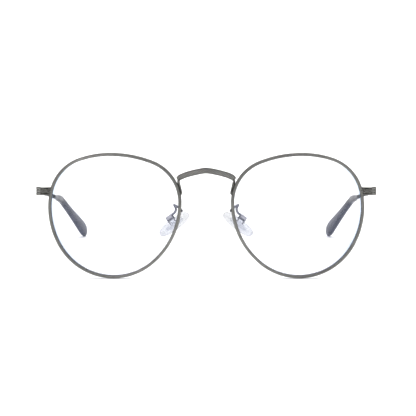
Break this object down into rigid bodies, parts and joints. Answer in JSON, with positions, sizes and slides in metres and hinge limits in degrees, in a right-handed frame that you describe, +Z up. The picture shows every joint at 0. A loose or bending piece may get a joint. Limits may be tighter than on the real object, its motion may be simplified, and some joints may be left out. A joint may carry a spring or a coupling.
{
  "type": "round wire eyeglasses",
  "caption": "Round metal full-rim spectacles with a saddle bridge, screwed-in rocking nose pads, clear lenses and folding wire temples with plastic tips.",
  "frame": {"origin": "centre of the base of the spectacles' box, on the table they stand on, below the middle of the bridge in X", "axes": "+X towards the wearer's left, +Y back from the lenses to the temple tips, +Z up with the temples open and standing on a table"},
  "size_m": [0.1364, 0.15, 0.0505],
  "materials": {
    "frame_metal": "antique gunmetal plating, engraved",
    "hinge_metal": "dark gunmetal plating",
    "screw_metal": "dark turned steel",
    "pad_arm_metal": "gunmetal plating, smooth",
    "lens": "clear optical plastic with a faint blue-violet anti-reflective coating",
    "pad_core_plastic": "clear hard plastic",
    "pad_silicone": "clear soft silicone",
    "temple_tip_acetate": "polished dark grey acetate"
  },
  "bodies": {
    "front": {"bridge": "frame_metal", "rim_left": "frame_metal", "rim_right": "frame_metal", "lens_left": "lens", "lens_right": "lens", "end_piece_left": "frame_metal", "end_piece_right": "frame_metal", "rim_lock_upper_left": "hinge_metal", "rim_lock_upper_right": "hinge_metal", "rim_lock_lower_left": "hinge_metal", "rim_lock_lower_right": "hinge_metal", "rim_lock_screw_left": "screw_metal", "rim_lock_screw_right": "screw_metal", "hinge_front_left": "hinge_metal", "hinge_front_right": "hinge_metal", "hinge_screw_left": "screw_metal", "hinge_screw_right": "screw_metal", "pad_arm_left": "pad_arm_metal", "pad_arm_right": "pad_arm_metal", "pad_box_left": "pad_arm_metal", "pad_box_right": "pad_arm_metal", "pad_screw_left": "screw_metal", "pad_screw_right": "screw_metal"},
    "temple_left": {"temple_arm_left": "frame_metal", "hinge_temple_left": "hinge_metal", "temple_tip_left": "temple_tip_acetate"},
    "nose_pad_left": {"pad_core_left": "pad_core_plastic", "nose_pad_left": "pad_silicone"},
    "temple_right": {"temple_arm_right": "frame_metal", "hinge_temple_right": "hinge_metal", "temple_tip_right": "temple_tip_acetate"},
    "nose_pad_right": {"pad_core_right": "pad_core_plastic", "nose_pad_right": "pad_silicone"}
  },
  "joints": [
    {"name": "temple_hinge_left", "type": "hinge", "parent": "front", "child": "temple_left", "pos_m": [0.06555, -0.06198, 0.03449], "axis": [0, 0.068, 0.9977], "range_deg": [0, 86]},
    {"name": "temple_hinge_right", "type": "hinge", "parent": "front", "child": "temple_right", "pos_m": [-0.06555, -0.06198, 0.03449], "axis": [0, -0.068, -0.9977], "range_deg": [0, 80]},
    {"name": "pad_rock_left", "type": "hinge", "parent": "front", "child": "nose_pad_left", "pos_m": [0.0144, -0.06505, 0.02314], "axis": [0.7986, 0, -0.6018], "range_deg": [-8, 8]},
    {"name": "pad_rock_right", "type": "hinge", "parent": "front", "child": "nose_pad_right", "pos_m": [-0.0144, -0.06505, 0.02314], "axis": [0.7986, 0, 0.6018], "range_deg": [-8, 8]}
  ]
}
